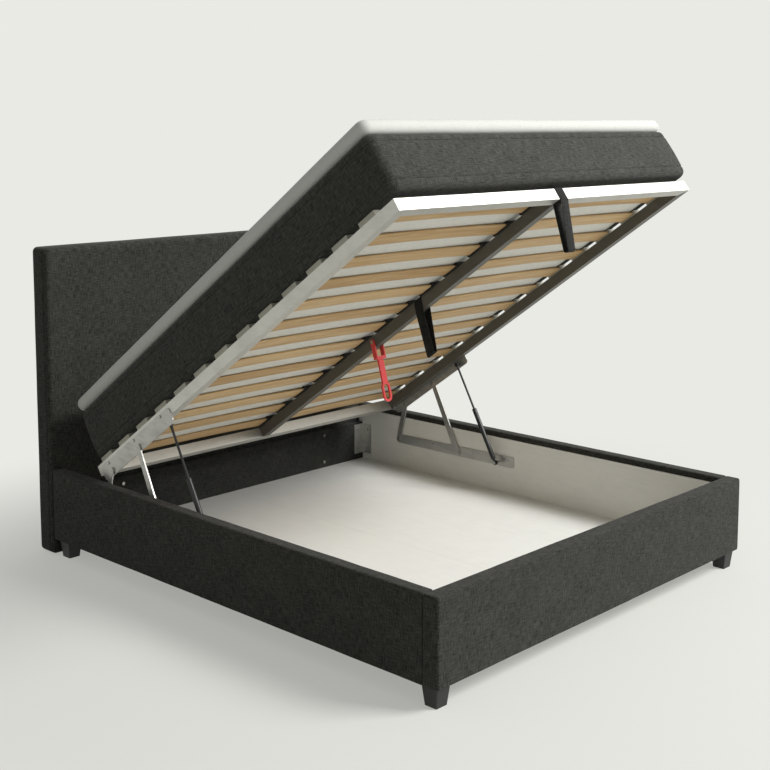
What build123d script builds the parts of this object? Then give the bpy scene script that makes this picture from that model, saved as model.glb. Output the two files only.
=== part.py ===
from build123d import *
import os
from math import atan, atan2, cos, degrees, hypot, radians, sin

os.makedirs("parts", exist_ok=True)

# A double bed whose slatted deck and mattress lift off a storage box, shown open.
# X runs across the bed, +Y towards the headboard and Z up. The origin is on the floor,
# below the middle of the whole length. Left is -X, seen from the foot.

# Base box
base_width = 1920
base_length = 2200
leg_height = 75
rail_height = 307
rail_thickness = 56
foot_thickness = 66
cover_thickness = 8
liner_thickness = 8
lip_depth = 28
cover_round = 7

# Legs
leg_top = 70
leg_bottom = 50
leg_inset = 15
leg_round = 6
centre_leg_radius = 20

# Headboard and the panel below the rear of the deck
headboard_width = 1926
headboard_thickness = 120
headboard_height = 1336
headboard_floor_gap = 4
headboard_padding = 25
headboard_round = 20
headboard_bolt_radius = 4
headboard_bolt_x = 620
headboard_bolt_reach = 40
rear_panel_thickness = 28
rear_panel_clearance = 7

# Storage floor
floor_rise = 15
floor_thickness = 6
floor_seam = 0.6
batten_count = 5
batten_width = 70
batten_thickness = 20
batten_end_inset = 120

# Rear corner brackets
bracket_leg = 64
bracket_thickness = 3
bracket_floor_gap = 30
bracket_top_gap = 8
bracket_screw_inset = 26
bracket_screw_side = 40
screw_head_radius = 5
screw_head_height = 2.4
screw_shank_radius = 2
screw_length = 18

# Deck frame of rectangular tube
tube_height = 45
tube_width = 40
tube_wall = 2
deck_length = 2084

# Deck when shut, then how far it moves forward, up and round when it opens
storage_depth = 201
deck_head_gap = 7
deck_forward = 250
deck_rise = 96
open_angle = 35

# Slats and their holders
slat_count = 13
slat_width = 72
slat_thickness = 8
slat_bow = 6
slat_first = 88
slat_pitch = 154.6
holder_length = 86
holder_height = 18
holder_floor = 4
holder_overlap = 26
centre_holder_width = 64
slot_play = 0.4
slot_height_play = 1.4

# Mattress and topper
mattress_width = 1800
mattress_length = 2100
mattress_thickness = 220
mattress_setback = 19
mattress_corner = 40
mattress_round = 22
topper_thickness = 60
topper_round = 26
soft_gap = 0.3

# Lift plates and arms, stacked inwards from the liner
base_plate_thickness = 5
base_plate_front = 1046
base_plate_rear = 285
base_plate_front_height = 52
base_plate_rear_height = 44
base_plate_bottom = 218
base_plate_round = 10
base_plate_screws = (532, 793, 1016)
base_plate_screw_rise = 34
base_plate_screw_length = 34
layer_gap = 1
arm_thickness = 6
deck_plate_thickness = 5
deck_plate_start = 28
deck_plate_end = 600
deck_plate_drop = 36
deck_plate_rise = 32
deck_plate_round = 18
deck_bolts = (90, 310, 530)
deck_bolt_rise = 22
deck_bolt_radius = 4
deck_bolt_head = 7
deck_bolt_head_height = 4
deck_bolt_reach = 8

# Pivots: along the deck from its rear edge, below its underside, and above the floor
rear_arm_deck = 98
front_arm_deck = 328
strut_deck = 545
arm_pivot_drop = 16
strut_pivot_drop = 18
rear_arm_base_height = 238
front_arm_base_height = 236
strut_base_height = 238
strut_base_from_head = 959

# Pivot pins and arms
pin_radius = 6
pin_clearance = 0.1
pin_head_radius = 10
pin_head_height = 2.6
head_gap = 0.3
arm_eye = 13
front_arm_base_eye = 16

# Gas struts
strut_inset = 32
strut_eye_radius = 11
strut_eye_width = 14
cylinder_length = 278
cylinder_radius = 11
cylinder_bore = 9
cylinder_neck = 18
cylinder_cap = 14
gland_length = 12
gland_clearance = 0.1
rod_radius = 5
piston_length = 14
piston_clearance = 0.1
rod_end_length = 26
strut_pin_radius = 4
stud_gap = 0.5

# Webbing loops and the red handle, which hang at an angle to the vertical
hang_angle = 16
webbing_width = 46
webbing_thickness = 3
pull_loop_drop = 190
pull_loop_end = 24
beam_loop_from_rear = 1238
beam_loop_drop = 186
beam_loop_end = 20
handle_from_rear = 930
handle_length = 258
handle_fold = 34
prong_thickness = 6
prong_gap = 1
prong_width = 22
prong_length = 62
crossbar_height = 14
stem_width = 30
stem_thickness = 8
ring_height = 84
ring_width = 46
ring_bar = 9
handle_pin_radius = 4
handle_pin_head = 7

half_width = base_width / 2
foot_y = -(base_length + headboard_thickness) / 2
foot_inner_y = foot_y + foot_thickness
head_y = foot_y + base_length
back_y = head_y + headboard_thickness
rail_top = leg_height + rail_height
liner_face = half_width - rail_thickness
rail_length = head_y - foot_inner_y
panel_y = head_y - rear_panel_thickness
floor_top = leg_height + floor_rise
lip_bottom = rail_top - lip_depth
board_top = rail_top - cover_thickness
deck_shut_y = head_y - deck_head_gap
deck_shut_z = floor_top + storage_depth
deck_y = deck_shut_y - deck_forward
deck_z = deck_shut_z + deck_rise
panel_top = deck_shut_z - rear_panel_clearance

# Layers of the lift gear, from the liner to the deck tube
base_plate_face = liner_face - base_plate_thickness
arm_outer = base_plate_face - layer_gap
arm_inner = arm_outer - arm_thickness
deck_plate_outer = arm_inner - layer_gap
deck_half = deck_plate_outer - deck_plate_thickness
strut_x = base_plate_face - strut_inset
rod_end_radius = strut_eye_width / 2 - 1

tilt = radians(open_angle)
sides = ((-1, "left"), (1, "right"))


def deck_point(along, above, angle=tilt, y=deck_y, z=deck_z):
    """The y and z of a point of the deck: along it from its rear edge, above its underside."""
    return (y - along * cos(angle) + above * sin(angle), z + along * sin(angle) + above * cos(angle))


def shut_point(along, above):
    """The same point when the deck is shut."""
    return deck_point(along, above, 0, deck_shut_y, deck_shut_z)


def base_pivot(along, above, height):
    """The pivot at this height that is as far from the point when open as when shut."""
    y1, z1 = deck_point(along, above)
    y2, z2 = shut_point(along, above)
    return ((y1 + y2) / 2 + (z2 - z1) * ((z1 + z2) / 2 - height) / (y2 - y1), height)


def sweep_angle(pivot, along, above):
    """The turn about X, in degrees, that takes the arm from open to shut."""
    y1, z1 = deck_point(along, above)
    y2, z2 = shut_point(along, above)
    return degrees(atan2(z2 - pivot[1], y2 - pivot[0]) - atan2(z1 - pivot[1], y1 - pivot[0]))


rear_low = base_pivot(rear_arm_deck, -arm_pivot_drop, rear_arm_base_height)
front_low = base_pivot(front_arm_deck, -arm_pivot_drop, front_arm_base_height)
strut_low = (head_y - strut_base_from_head, strut_base_height)
rear_high = deck_point(rear_arm_deck, -arm_pivot_drop)
front_high = deck_point(front_arm_deck, -arm_pivot_drop)
strut_high = deck_point(strut_deck, -strut_pivot_drop)
strut_open = hypot(strut_high[0] - strut_low[0], strut_high[1] - strut_low[1])
strut_shut_end = shut_point(strut_deck, -strut_pivot_drop)
strut_shut = hypot(strut_shut_end[0] - strut_low[0], strut_shut_end[1] - strut_low[1])
strut_lean = atan2(strut_high[1] - strut_low[1], strut_high[0] - strut_low[0])


def side_plane(x):
    """A plane across X, drawn in Y and Z."""
    return Plane(origin=(x, 0, 0), x_dir=(0, 1, 0), z_dir=(1, 0, 0))


def cross_plane(y):
    """A plane across Y that faces the foot, drawn in X and Z."""
    return Plane(origin=(0, y, 0), x_dir=(1, 0, 0), z_dir=(0, -1, 0))


def deck_plane(above):
    """A plane along the deck, drawn in X and in minus the length from its rear edge."""
    return Plane(origin=(0, *deck_point(0, above)), x_dir=(1, 0, 0), z_dir=(0, sin(tilt), cos(tilt)))


def deck_side_plane(x):
    """A plane across X, drawn in minus the deck's length and in the height above it."""
    return Plane(origin=(x, *deck_point(0, 0)), x_dir=(0, cos(tilt), -sin(tilt)), z_dir=(1, 0, 0))


def deck_cross_plane(along, above=0, lean=tilt):
    """A plane across the deck's length that faces the foot, drawn in X and upwards."""
    return Plane(origin=(0, *deck_point(along, above)), x_dir=(1, 0, 0), z_dir=(0, -cos(lean), sin(lean)))


def bar(x0, x1, y0, y1, mode=Mode.ADD):
    """A rectangle in the open sketch, given by its edges."""
    with Locations(((x0 + x1) / 2, (y0 + y1) / 2)):
        Rectangle(abs(x1 - x0), abs(y1 - y0), mode=mode)


def pegs(plane, points, radius, depth, mode=Mode.ADD):
    """A cylinder at each point of a plane, along its normal, added to or cut from the open part."""
    with BuildSketch(plane, mode=Mode.PRIVATE) as spots:
        with Locations(*points):
            Circle(radius)
    extrude(spots.sketch, amount=depth, mode=mode)


def write(builder, name):
    builder.part.label = name
    export_step(builder.part, "parts/" + name + ".step")


# Screw places on the base plates and on the two flanges of each bracket
plate_screw_z = base_plate_bottom + base_plate_screw_rise
plate_screw_points = [(head_y - along, plate_screw_z) for along in base_plate_screws]
bracket_low = floor_top + bracket_floor_gap
bracket_high = panel_top - bracket_top_gap
bracket_screw_heights = (bracket_low + bracket_screw_inset, bracket_high - bracket_screw_inset)
bracket_side_points = [(panel_y - bracket_screw_side, z) for z in bracket_screw_heights]
bracket_rear_x = liner_face - bracket_screw_side
bolt_heights = (floor_top + bracket_floor_gap, panel_top - bracket_screw_inset)
bolt_points = [(side * headboard_bolt_x, z) for side in (-1, 1) for z in bolt_heights]

# Side rails: board, upholstery that folds over the top, and liner
for side, name in sides:
    with BuildPart() as rail_board:
        with BuildSketch(cross_plane(foot_inner_y)):
            bar(side * (liner_face + liner_thickness), side * (half_width - cover_thickness),
                leg_height, board_top)
        extrude(amount=-rail_length)
        deep = base_plate_screw_length - base_plate_thickness
        pegs(side_plane(side * liner_face), plate_screw_points, screw_shank_radius, side * deep, Mode.SUBTRACT)
        deep = screw_length - bracket_thickness
        pegs(side_plane(side * liner_face), bracket_side_points, screw_shank_radius, side * deep, Mode.SUBTRACT)
    write(rail_board, name + "_rail_board")

    with BuildPart() as rail_cover:
        with BuildSketch(cross_plane(foot_inner_y)):
            bar(side * liner_face, side * half_width, leg_height, rail_top)
        extrude(amount=-rail_length)
        top_edges = rail_cover.edges().filter_by(Axis.Y).group_by(Axis.Z)[-1]
        fillet(top_edges, cover_round)
        with BuildSketch(cross_plane(foot_inner_y)):
            bar(side * (liner_face + liner_thickness), side * (half_width - cover_thickness),
                leg_height, board_top)
            bar(side * liner_face, side * (liner_face + liner_thickness), leg_height, lip_bottom)
        extrude(amount=-rail_length, mode=Mode.SUBTRACT)
    write(rail_cover, name + "_rail_cover")

    with BuildPart() as side_liner:
        with BuildSketch(cross_plane(foot_inner_y)):
            bar(side * liner_face, side * (liner_face + liner_thickness), leg_height, lip_bottom)
        extrude(amount=-rail_length)
        for points in (plate_screw_points, bracket_side_points):
            pegs(side_plane(side * liner_face), points, screw_shank_radius,
                 side * liner_thickness, Mode.SUBTRACT)
    write(side_liner, name + "_liner")

# Foot panel: board, upholstery round its front, top and ends, and liner
foot_board_rear = foot_inner_y - liner_thickness
with BuildPart() as foot_board:
    with BuildSketch(cross_plane(foot_y + cover_thickness)):
        bar(-half_width + cover_thickness, half_width - cover_thickness, leg_height, board_top)
    extrude(amount=foot_y + cover_thickness - foot_board_rear)
write(foot_board, "foot_board")

with BuildPart() as foot_cover:
    with BuildSketch(cross_plane(foot_y)):
        bar(-half_width, half_width, leg_height, rail_top)
    extrude(amount=-foot_thickness)
    top_edges = foot_cover.edges().group_by(Axis.Z)[-1]
    front_edges = foot_cover.edges().filter_by(Axis.Z).group_by(Axis.Y)[0]
    fillet(top_edges + front_edges, cover_round)
    with BuildSketch(cross_plane(foot_y + cover_thickness)):
        bar(-half_width + cover_thickness, half_width - cover_thickness, leg_height, board_top)
    extrude(amount=foot_y + cover_thickness - foot_board_rear, mode=Mode.SUBTRACT)
    with BuildSketch(cross_plane(foot_board_rear)):
        bar(-liner_face, liner_face, leg_height, lip_bottom)
    extrude(amount=-liner_thickness, mode=Mode.SUBTRACT)
write(foot_cover, "foot_cover")

with BuildPart() as foot_liner:
    with BuildSketch(cross_plane(foot_board_rear)):
        bar(-liner_face, liner_face, leg_height, lip_bottom)
    extrude(amount=-liner_thickness)
write(foot_liner, "foot_liner")

# Panel below the rear edge of the shut deck
with BuildPart() as rear_panel:
    with BuildSketch(cross_plane(panel_y)):
        bar(-liner_face, liner_face, leg_height, panel_top)
    extrude(amount=-rear_panel_thickness)
    for side in (-1, 1):
        points = [(side * bracket_rear_x, z) for z in bracket_screw_heights]
        pegs(cross_plane(panel_y), points, screw_shank_radius, bracket_thickness - screw_length, Mode.SUBTRACT)
    pegs(cross_plane(panel_y), bolt_points, headboard_bolt_radius, -rear_panel_thickness, Mode.SUBTRACT)
write(rear_panel, "rear_panel")

# Headboard: a board inside a padded cover that is open at the bottom
board_half = headboard_width / 2 - headboard_padding
with BuildPart() as headboard_board:
    with BuildSketch(cross_plane(head_y + headboard_padding)):
        bar(-board_half, board_half, headboard_floor_gap, headboard_height - headboard_padding)
    extrude(amount=2 * headboard_padding - headboard_thickness)
    pegs(cross_plane(head_y), bolt_points, headboard_bolt_radius, -headboard_bolt_reach, Mode.SUBTRACT)
write(headboard_board, "headboard_board")

with BuildPart() as headboard_cover:
    with BuildSketch(cross_plane(head_y)):
        bar(-headboard_width / 2, headboard_width / 2, headboard_floor_gap, headboard_height)
    extrude(amount=-headboard_thickness)
    upright_edges = headboard_cover.edges().filter_by(Axis.Z)
    top_edges = headboard_cover.edges().group_by(Axis.Z)[-1]
    fillet(upright_edges + top_edges, headboard_round)
    with BuildSketch(cross_plane(head_y + headboard_padding)):
        bar(-board_half, board_half, headboard_floor_gap, headboard_height - headboard_padding)
    extrude(amount=2 * headboard_padding - headboard_thickness, mode=Mode.SUBTRACT)
    pegs(cross_plane(head_y), bolt_points, headboard_bolt_radius, -headboard_padding, Mode.SUBTRACT)
write(headboard_cover, "headboard_cover")

with BuildPart() as headboard_bolts:
    bolt_length = rear_panel_thickness + headboard_bolt_reach
    pegs(cross_plane(panel_y), bolt_points, headboard_bolt_radius, -bolt_length)
    with BuildSketch(cross_plane(panel_y)):
        with Locations(*bolt_points):
            RegularPolygon(2 * headboard_bolt_radius, 6)
    extrude(amount=headboard_bolt_radius)
write(headboard_bolts, "headboard_bolts")

# Storage floor in two halves, on battens and centre legs
floor_bottom = floor_top - floor_thickness
with BuildPart() as storage_floor:
    with BuildSketch(Plane.XY.offset(floor_bottom)):
        for side in (-1, 1):
            bar(side * floor_seam / 2, side * liner_face, foot_inner_y, panel_y)
    extrude(amount=floor_thickness)
write(storage_floor, "storage_floor")

batten_first = foot_inner_y + batten_end_inset
batten_last = panel_y - batten_end_inset
batten_step = (batten_last - batten_first) / (batten_count - 1)
batten_ys = [batten_first + index * batten_step for index in range(batten_count)]
with BuildPart() as floor_battens:
    with BuildSketch(Plane.XY.offset(floor_bottom)):
        for y in batten_ys:
            bar(-liner_face, liner_face, y - batten_width / 2, y + batten_width / 2)
    extrude(amount=-batten_thickness)
write(floor_battens, "floor_battens")

with BuildPart() as centre_legs:
    pegs(Plane.XY, [(0, y) for y in batten_ys], centre_leg_radius, floor_bottom - batten_thickness)
write(centre_legs, "centre_legs")

leg_x = half_width - leg_inset - leg_top / 2
leg_ys = (foot_y + leg_inset + leg_top / 2, head_y - leg_inset - leg_top / 2)
under_base = Plane(origin=(0, 0, leg_height), x_dir=(1, 0, 0), z_dir=(0, 0, -1))
with BuildPart() as corner_legs:
    with BuildSketch(under_base):
        with Locations(*[(side * leg_x, -y) for side in (-1, 1) for y in leg_ys]):
            RectangleRounded(leg_top, leg_top, leg_round)
    extrude(amount=leg_height, taper=degrees(atan((leg_top - leg_bottom) / 2 / leg_height)))
write(corner_legs, "corner_legs")

# Rear corner brackets and their screws
with BuildPart() as corner_brackets:
    with BuildSketch(Plane.XY.offset(bracket_low)):
        for side in (-1, 1):
            bar(side * liner_face, side * (liner_face - bracket_thickness), panel_y - bracket_leg, panel_y)
            bar(side * liner_face, side * (liner_face - bracket_leg), panel_y - bracket_thickness, panel_y)
    extrude(amount=bracket_high - bracket_low)
    for side in (-1, 1):
        points = [(side * bracket_rear_x, z) for z in bracket_screw_heights]
        pegs(cross_plane(panel_y), points, screw_shank_radius, bracket_thickness, Mode.SUBTRACT)
        pegs(side_plane(side * liner_face), bracket_side_points, screw_shank_radius,
             -side * bracket_thickness, Mode.SUBTRACT)
write(corner_brackets, "corner_brackets")

with BuildPart() as bracket_screws:
    for side in (-1, 1):
        points = [(side * bracket_rear_x, z) for z in bracket_screw_heights]
        head_plane = cross_plane(panel_y - bracket_thickness)
        pegs(head_plane, points, screw_head_radius, screw_head_height)
        pegs(head_plane, points, screw_shank_radius, -screw_length)
        head_plane = side_plane(side * (liner_face - bracket_thickness))
        pegs(head_plane, bracket_side_points, screw_head_radius, -side * screw_head_height)
        pegs(head_plane, bracket_side_points, screw_shank_radius, side * screw_length)
write(bracket_screws, "bracket_screws")

# Lift plates on the side liners, with countersunk screws
plate_front_y = head_y - base_plate_front
plate_rear_y = head_y - base_plate_rear
for side, name in sides:
    with BuildPart() as base_plate:
        with BuildSketch(side_plane(side * liner_face)):
            with BuildLine():
                Polyline((plate_front_y, base_plate_bottom), (plate_rear_y, base_plate_bottom),
                         (plate_rear_y, base_plate_bottom + base_plate_rear_height),
                         (plate_front_y, base_plate_bottom + base_plate_front_height), close=True)
            make_face()
            fillet(vertices(), base_plate_round)
        extrude(amount=-side * base_plate_thickness)
        for y, z in plate_screw_points:
            with Locations(Location(Plane(origin=(side * base_plate_face, y, z), z_dir=(-side, 0, 0)))):
                CounterSinkHole(screw_shank_radius, screw_head_radius, base_plate_thickness, 90)
        pegs(side_plane(side * liner_face), [rear_low, front_low], pin_radius,
             -side * base_plate_thickness, Mode.SUBTRACT)
        pegs(side_plane(side * liner_face), [strut_low], strut_pin_radius,
             -side * base_plate_thickness, Mode.SUBTRACT)
    write(base_plate, name + "_base_plate")

with BuildPart() as base_plate_screws_part:
    for side in (-1, 1):
        for y, z in plate_screw_points:
            with BuildSketch(Plane(origin=(side * base_plate_face, y, z), x_dir=(0, 1, 0), z_dir=(side, 0, 0))):
                Circle(screw_head_radius)
            extrude(amount=screw_head_radius - screw_shank_radius, taper=45)
        pegs(side_plane(side * base_plate_face), plate_screw_points, screw_shank_radius,
             side * base_plate_screw_length)
write(base_plate_screws_part, "base_plate_screws")

# Pins of the two arms on each base plate
with BuildPart() as base_pins:
    for side in (-1, 1):
        points = [rear_low, front_low]
        head_base = arm_inner - head_gap
        pegs(side_plane(side * liner_face), points, pin_radius, side * (head_base - liner_face))
        pegs(side_plane(side * head_base), points, pin_head_radius, -side * pin_head_height)
write(base_pins, "arm_base_pins")

# Arms
pin_hole = pin_radius + pin_clearance
for side, name in sides:
    with BuildPart() as front_arm:
        with BuildSketch(side_plane(side * arm_outer)):
            with Locations(front_low):
                Circle(front_arm_base_eye)
            with Locations(front_high):
                Circle(arm_eye)
            make_hull()
        extrude(amount=-side * arm_thickness)
        pegs(side_plane(side * arm_outer), [front_low], pin_hole, -side * arm_thickness, Mode.SUBTRACT)
        pegs(side_plane(side * arm_outer), [front_high], pin_radius, -side * arm_thickness, Mode.SUBTRACT)
    write(front_arm, name + "_front_arm")

    with BuildPart() as rear_arm:
        with BuildSketch(side_plane(side * arm_outer)):
            with Locations(rear_low, rear_high):
                Circle(arm_eye)
            make_hull()
        extrude(amount=-side * arm_thickness)
        pegs(side_plane(side * arm_outer), [rear_low, rear_high], pin_hole, -side * arm_thickness, Mode.SUBTRACT)
    write(rear_arm, name + "_rear_arm")

    with BuildPart() as arm_stub:
        pegs(side_plane(side * arm_outer), [front_high], pin_radius, -side * (arm_thickness + head_gap))
    write(arm_stub, name + "_front_arm_stub")

# Gas struts: cylinder with an eye, gland, rod with its piston, and a rod end with a stud
for side, name in sides:
    axis = Plane(origin=(side * strut_x, *strut_low), x_dir=(1, 0, 0),
                 z_dir=(0, cos(strut_lean), sin(strut_lean)))
    eye_plane = side_plane(side * strut_x - strut_eye_width / 2)
    with BuildPart() as cylinder:
        with BuildSketch(axis.offset(cylinder_neck)):
            Circle(cylinder_radius)
        extrude(amount=cylinder_length - cylinder_neck)
        with BuildSketch(axis):
            Circle(rod_end_radius)
        extrude(amount=cylinder_neck)
        pegs(eye_plane, [strut_low], strut_eye_radius, strut_eye_width)
        with BuildSketch(axis.offset(cylinder_neck + cylinder_cap)):
            Circle(cylinder_bore)
        extrude(amount=cylinder_length - cylinder_neck - cylinder_cap, mode=Mode.SUBTRACT)
        pegs(side_plane(side * strut_x - cylinder_radius), [strut_low], strut_pin_radius + pin_clearance,
             2 * cylinder_radius, Mode.SUBTRACT)
    write(cylinder, name + "_strut_cylinder")

    with BuildPart() as gland:
        with BuildSketch(axis.offset(cylinder_length)):
            Circle(cylinder_bore)
            Circle(rod_radius + gland_clearance, mode=Mode.SUBTRACT)
        extrude(amount=-gland_length)
    write(gland, name + "_strut_gland")

    piston_top = cylinder_length - gland_length - piston_length
    with BuildPart() as rod:
        with BuildSketch(axis.offset(piston_top)):
            Circle(rod_radius)
        extrude(amount=strut_open - rod_end_length - piston_top)
        with BuildSketch(axis.offset(piston_top - piston_length)):
            Circle(cylinder_bore - piston_clearance)
        extrude(amount=piston_length)
    write(rod, name + "_strut_rod")

    with BuildPart() as rod_end:
        with BuildSketch(axis.offset(strut_open - rod_end_length)):
            Circle(rod_end_radius)
        extrude(amount=rod_end_length)
        pegs(side_plane(side * strut_x - strut_eye_width / 2), [strut_high], strut_eye_radius, strut_eye_width)
        stud_reach = deck_half - stud_gap - strut_x
        pegs(side_plane(side * strut_x), [strut_high], strut_pin_radius, side * stud_reach)
    write(rod_end, name + "_strut_rod_end")

with BuildPart() as strut_pins:
    for side in (-1, 1):
        pin_end = strut_x - strut_eye_width / 2 - head_gap
        pegs(side_plane(side * liner_face), [strut_low], strut_pin_radius, side * (pin_end - liner_face))
        pegs(side_plane(side * pin_end), [strut_low], 2 * strut_pin_radius, -side * pin_head_height)
write(strut_pins, "strut_base_pins")

# Deck frame: four mitred tubes and a centre beam
inner_half = deck_half - tube_width
inner_rear = -tube_width
inner_front = tube_width - deck_length
hollow_height = tube_height - 2 * tube_wall
for name, edge, inner in (("rear", 0, inner_rear), ("front", -deck_length, inner_front)):
    with BuildPart() as tube:
        with BuildSketch(deck_plane(0)):
            with BuildLine():
                Polyline((-deck_half, edge), (deck_half, edge), (inner_half, inner), (-inner_half, inner), close=True)
            make_face()
        extrude(amount=tube_height)
        wall = tube_wall if edge < inner else -tube_wall
        with BuildSketch(deck_plane(tube_wall)):
            bar(-deck_half, deck_half, edge + wall, inner - wall)
        extrude(amount=hollow_height, mode=Mode.SUBTRACT)
    write(tube, name + "_deck_tube")

bolt_places = [(-along, deck_bolt_rise) for along in deck_bolts]
for side, name in sides:
    with BuildPart() as tube:
        with BuildSketch(deck_plane(0)):
            with BuildLine():
                Polyline((side * deck_half, 0), (side * inner_half, inner_rear),
                         (side * inner_half, inner_front), (side * deck_half, -deck_length), close=True)
            make_face()
        extrude(amount=tube_height)
        with BuildSketch(deck_plane(tube_wall)):
            bar(side * (inner_half + tube_wall), side * (deck_half - tube_wall), 0, -deck_length)
        extrude(amount=hollow_height, mode=Mode.SUBTRACT)
        pegs(deck_side_plane(side * deck_half), bolt_places, deck_bolt_radius, -side * tube_wall, Mode.SUBTRACT)
    write(tube, name + "_deck_tube")

handle_rise = tube_height / 2
handle_pivot = (-handle_from_rear, handle_rise)
with BuildPart() as beam:
    with BuildSketch(deck_plane(0)):
        bar(-tube_width / 2, tube_width / 2, inner_rear, inner_front)
    extrude(amount=tube_height)
    with BuildSketch(deck_plane(tube_wall)):
        bar(tube_wall - tube_width / 2, tube_width / 2 - tube_wall, inner_rear, inner_front)
    extrude(amount=hollow_height, mode=Mode.SUBTRACT)
    pegs(deck_side_plane(-tube_width / 2), [handle_pivot], handle_pin_radius, tube_width, Mode.SUBTRACT)
write(beam, "centre_beam")

# Slat holders on the side tubes and on the beam
slat_places = [slat_first + index * slat_pitch for index in range(slat_count)]
slot_bottom = tube_height + holder_floor
slot_height = slat_thickness + slot_height_play
holder_inner = deck_half - holder_overlap - tube_width / 2
slat_end = deck_half - tube_width / 2
for side, name in sides:
    with BuildPart() as holders:
        with BuildSketch(deck_plane(tube_height)):
            for along in slat_places:
                bar(side * holder_inner, side * deck_half, -along - holder_length / 2, -along + holder_length / 2)
        extrude(amount=holder_height)
        with BuildSketch(deck_plane(slot_bottom)):
            for along in slat_places:
                bar(side * holder_inner, side * (slat_end + slot_play), -along - slat_width / 2 - slot_play,
                    -along + slat_width / 2 + slot_play)
        extrude(amount=slot_height, mode=Mode.SUBTRACT)
    write(holders, name + "_slat_holders")

centre_half = centre_holder_width / 2
slat_start = centre_half - holder_overlap + slot_play
with BuildPart() as centre_holders:
    with BuildSketch(deck_plane(tube_height)):
        for along in slat_places:
            bar(-centre_half, centre_half, -along - holder_length / 2, -along + holder_length / 2)
    extrude(amount=holder_height)
    with BuildSketch(deck_plane(slot_bottom)):
        for along in slat_places:
            for side in (-1, 1):
                bar(side * (slat_start - slot_play), side * centre_half, -along - slat_width / 2 - slot_play,
                    -along + slat_width / 2 + slot_play)
    extrude(amount=slot_height, mode=Mode.SUBTRACT)
write(centre_holders, "centre_slat_holders")

# Bowed slats, one row on each side of the beam
slat_middle = (slat_start + slat_end) / 2
slat_low = slot_bottom + head_gap
for side, name in sides:
    with BuildPart() as slats:
        for along in slat_places:
            with BuildSketch(deck_cross_plane(along - slat_width / 2)):
                with BuildLine():
                    ThreePointArc((side * slat_start, slat_low), (side * slat_middle, slat_low + slat_bow),
                                  (side * slat_end, slat_low))
                    Line((side * slat_end, slat_low), (side * slat_end, slat_low + slat_thickness))
                    ThreePointArc((side * slat_end, slat_low + slat_thickness),
                                  (side * slat_middle, slat_low + slat_thickness + slat_bow),
                                  (side * slat_start, slat_low + slat_thickness))
                    Line((side * slat_start, slat_low + slat_thickness), (side * slat_start, slat_low))
                make_face()
            extrude(amount=slat_width)
    write(slats, name + "_slats")

# Lift plates on the deck tubes, their bolts and their pivot pins
for side, name in sides:
    with BuildPart() as deck_plate:
        with BuildSketch(deck_side_plane(side * deck_half)):
            bar(-deck_plate_end, -deck_plate_start, -deck_plate_drop, deck_plate_rise)
            fillet(vertices(), deck_plate_round)
        extrude(amount=side * deck_plate_thickness)
        pins = [(-along, -arm_pivot_drop) for along in (rear_arm_deck, front_arm_deck)]
        pins.append((-strut_deck, -strut_pivot_drop))
        pegs(deck_side_plane(side * deck_half), pins, pin_radius, side * deck_plate_thickness, Mode.SUBTRACT)
        pegs(deck_side_plane(side * deck_half), bolt_places, deck_bolt_radius,
             side * deck_plate_thickness, Mode.SUBTRACT)
    write(deck_plate, name + "_deck_plate")

with BuildPart() as deck_plate_bolts:
    for side in (-1, 1):
        shank_start = deck_half - deck_bolt_reach
        pegs(deck_side_plane(side * shank_start), bolt_places, deck_bolt_radius,
             side * (deck_plate_outer - shank_start))
        with BuildSketch(deck_side_plane(side * deck_plate_outer)):
            with Locations(*bolt_places):
                RegularPolygon(deck_bolt_head, 6)
        extrude(amount=side * deck_bolt_head_height)
write(deck_plate_bolts, "deck_plate_bolts")

with BuildPart() as deck_pins:
    for side in (-1, 1):
        rear_pin = [(-rear_arm_deck, -arm_pivot_drop)]
        front_pin = [(-front_arm_deck, -arm_pivot_drop)]
        strut_pin = [(-strut_deck, -strut_pivot_drop)]
        face = deck_side_plane(side * deck_half)
        pegs(face, rear_pin, pin_radius, side * (arm_outer - deck_half))
        pegs(face, front_pin + strut_pin, pin_radius, side * deck_plate_thickness)
        pegs(face, rear_pin + front_pin, pin_head_radius, -side * pin_head_height)
write(deck_pins, "deck_pivot_pins")

# Mattress and topper
mattress_low = tube_height + holder_height + soft_gap
mattress_middle = -(mattress_setback + mattress_length / 2)
with BuildPart() as mattress:
    with BuildSketch(deck_plane(mattress_low)):
        with Locations((0, mattress_middle)):
            RectangleRounded(mattress_width, mattress_length, mattress_corner)
    extrude(amount=mattress_thickness)
    faces_up = mattress.faces().filter_by(deck_plane(0))
    fillet(faces_up.edges(), mattress_round)
write(mattress, "mattress")

with BuildPart() as topper:
    with BuildSketch(deck_plane(mattress_low + mattress_thickness + soft_gap)):
        with Locations((0, mattress_middle)):
            RectangleRounded(mattress_width, mattress_length, mattress_corner)
    extrude(amount=topper_thickness)
    faces_up = topper.faces().filter_by(deck_plane(0))
    fillet(faces_up.edges(), topper_round)
write(topper, "topper")

# Webbing loops: each hangs below a tube to a narrow end, like a hand strap
def loop_outline(left, right, top, start, bottom, end_middle, end_width, mode=Mode.ADD):
    """One outline of a loop in the open sketch: upright down to the start, then narrowing."""
    end_top = bottom + end_width / 2
    end_left = end_middle - end_width / 2
    end_right = end_middle + end_width / 2
    with BuildLine() as outline:
        Polyline((end_left, end_top), (left, start), (left, top), (right, top), (right, start), (end_right, end_top))
        ThreePointArc((end_right, end_top), (end_middle, bottom), (end_left, end_top))
    make_face(outline.edges(), mode=mode)


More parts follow.
